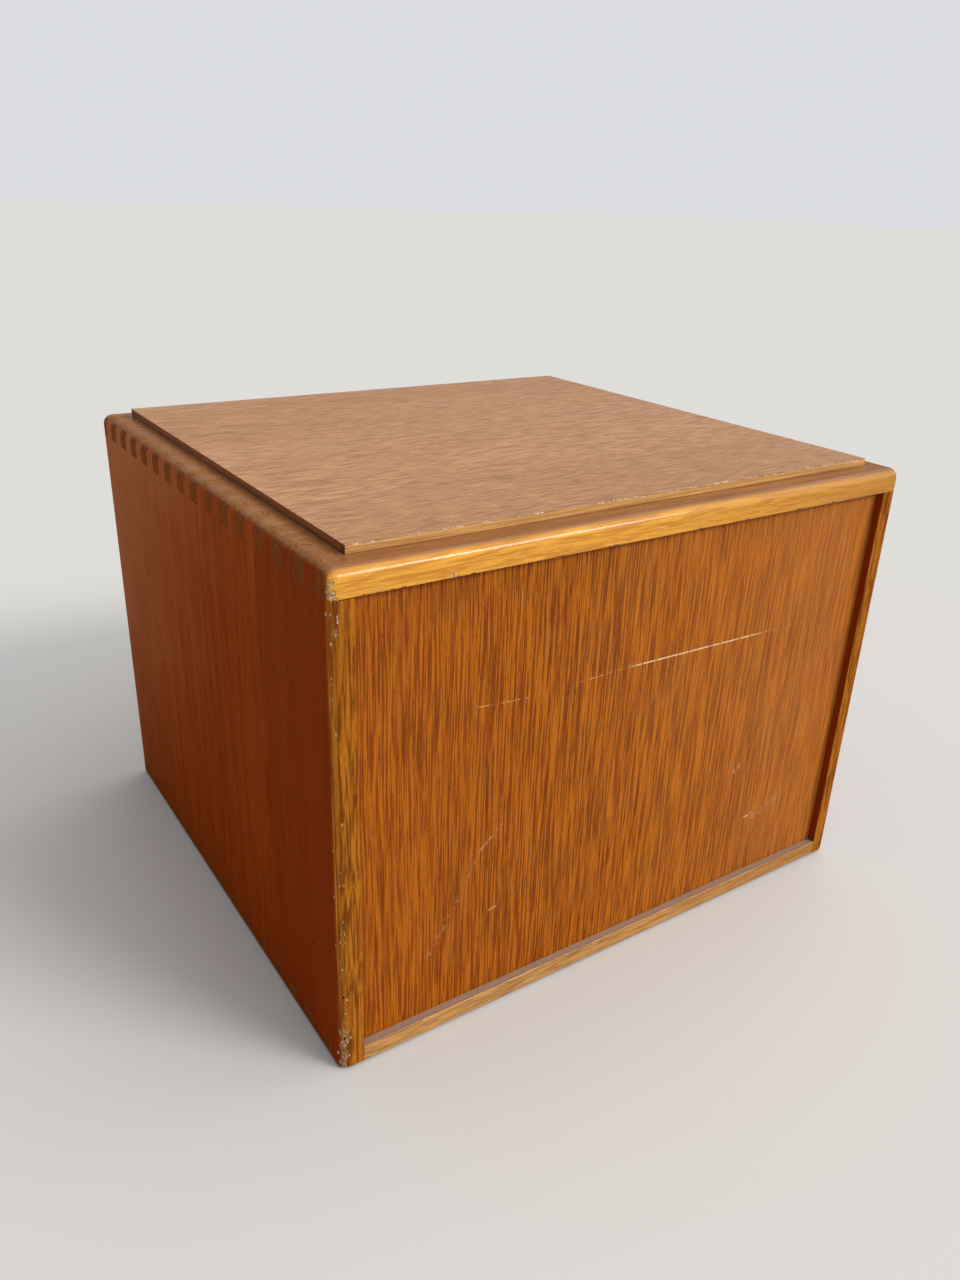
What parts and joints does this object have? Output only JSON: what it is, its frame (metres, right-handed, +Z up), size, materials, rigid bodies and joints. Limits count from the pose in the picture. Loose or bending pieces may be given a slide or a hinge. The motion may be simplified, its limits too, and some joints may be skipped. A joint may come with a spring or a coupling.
{
  "type": "sewing table",
  "caption": "Low oak sewing table: finger-jointed box with a lift-off lid over a sliding thread tray, and drawers behind.",
  "frame": {"origin": "on the floor under the middle of the box", "axes": "+Z up; +X along the box's width; +Y towards the drawer side, so the recessed panel faces -Y"},
  "size_m": [0.5, 0.458, 0.371],
  "materials": {
    "oak_side": "oiled solid oak, dark orange-brown, upright staves",
    "oak_board": "oiled solid oak, golden, worn edges",
    "oak_panel": "fine straight-grained oak veneer, satin lacquer",
    "oak_front": "oiled solid oak, grain side to side",
    "lid_veneer": "oak veneer, worn satin lacquer",
    "oak_lipping": "solid oak strip, worn edge",
    "plywood": "birch plywood, thin lacquer",
    "beech": "plain beech, waxed",
    "dowel": "turned birch pin",
    "brass": "plain brass, slightly dulled",
    "felt": "dark wool felt"
  },
  "bodies": {
    "carcass": {"left_side": "oak_side", "right_side": "oak_side", "top_board": "oak_board", "bottom_board": "oak_board", "back_panel": "oak_panel", "well_shelf": "plywood", "front_apron": "oak_front", "tray_ledges": "beech", "drawer_runners": "beech", "runner_screws": "brass", "felt_pads": "felt"},
    "lid": {"lid_core": "plywood", "lid_veneer": "lid_veneer", "lid_back_lipping": "oak_lipping", "lid_front_lipping": "oak_lipping", "lid_end_lippings": "oak_lipping", "lid_battens": "beech", "batten_screws": "brass"},
    "thread_tray": {"tray_back_wall": "beech", "tray_front_wall": "beech", "tray_left_wall": "beech", "tray_right_wall": "beech", "tray_bottom": "plywood", "tray_cross_dividers": "beech", "tray_long_divider": "beech", "spool_pins": "dowel"},
    "upper_drawer": {"upper_drawer_front": "oak_front", "upper_drawer_left_side": "beech", "upper_drawer_right_side": "beech", "upper_drawer_back": "beech", "upper_drawer_bottom": "plywood", "upper_drawer_long_divider": "beech", "upper_drawer_cross_divider": "beech"},
    "lower_drawer": {"lower_drawer_front": "oak_front", "lower_drawer_left_side": "beech", "lower_drawer_right_side": "beech", "lower_drawer_back": "beech", "lower_drawer_bottom": "plywood"}
  },
  "joints": [
    {"name": "lid_lift", "type": "slide", "parent": "carcass", "child": "lid", "axis": [0, 0, 1], "range_m": [0, 0.2]},
    {"name": "tray_slide", "type": "slide", "parent": "carcass", "child": "thread_tray", "axis": [1, 0, 0], "range_m": [0, 0.242]},
    {"name": "upper_drawer_slide", "type": "slide", "parent": "carcass", "child": "upper_drawer", "axis": [0, 1, 0], "range_m": [0, 0.3]},
    {"name": "lower_drawer_slide", "type": "slide", "parent": "carcass", "child": "lower_drawer", "axis": [0, 1, 0], "range_m": [0, 0.3]}
  ]
}
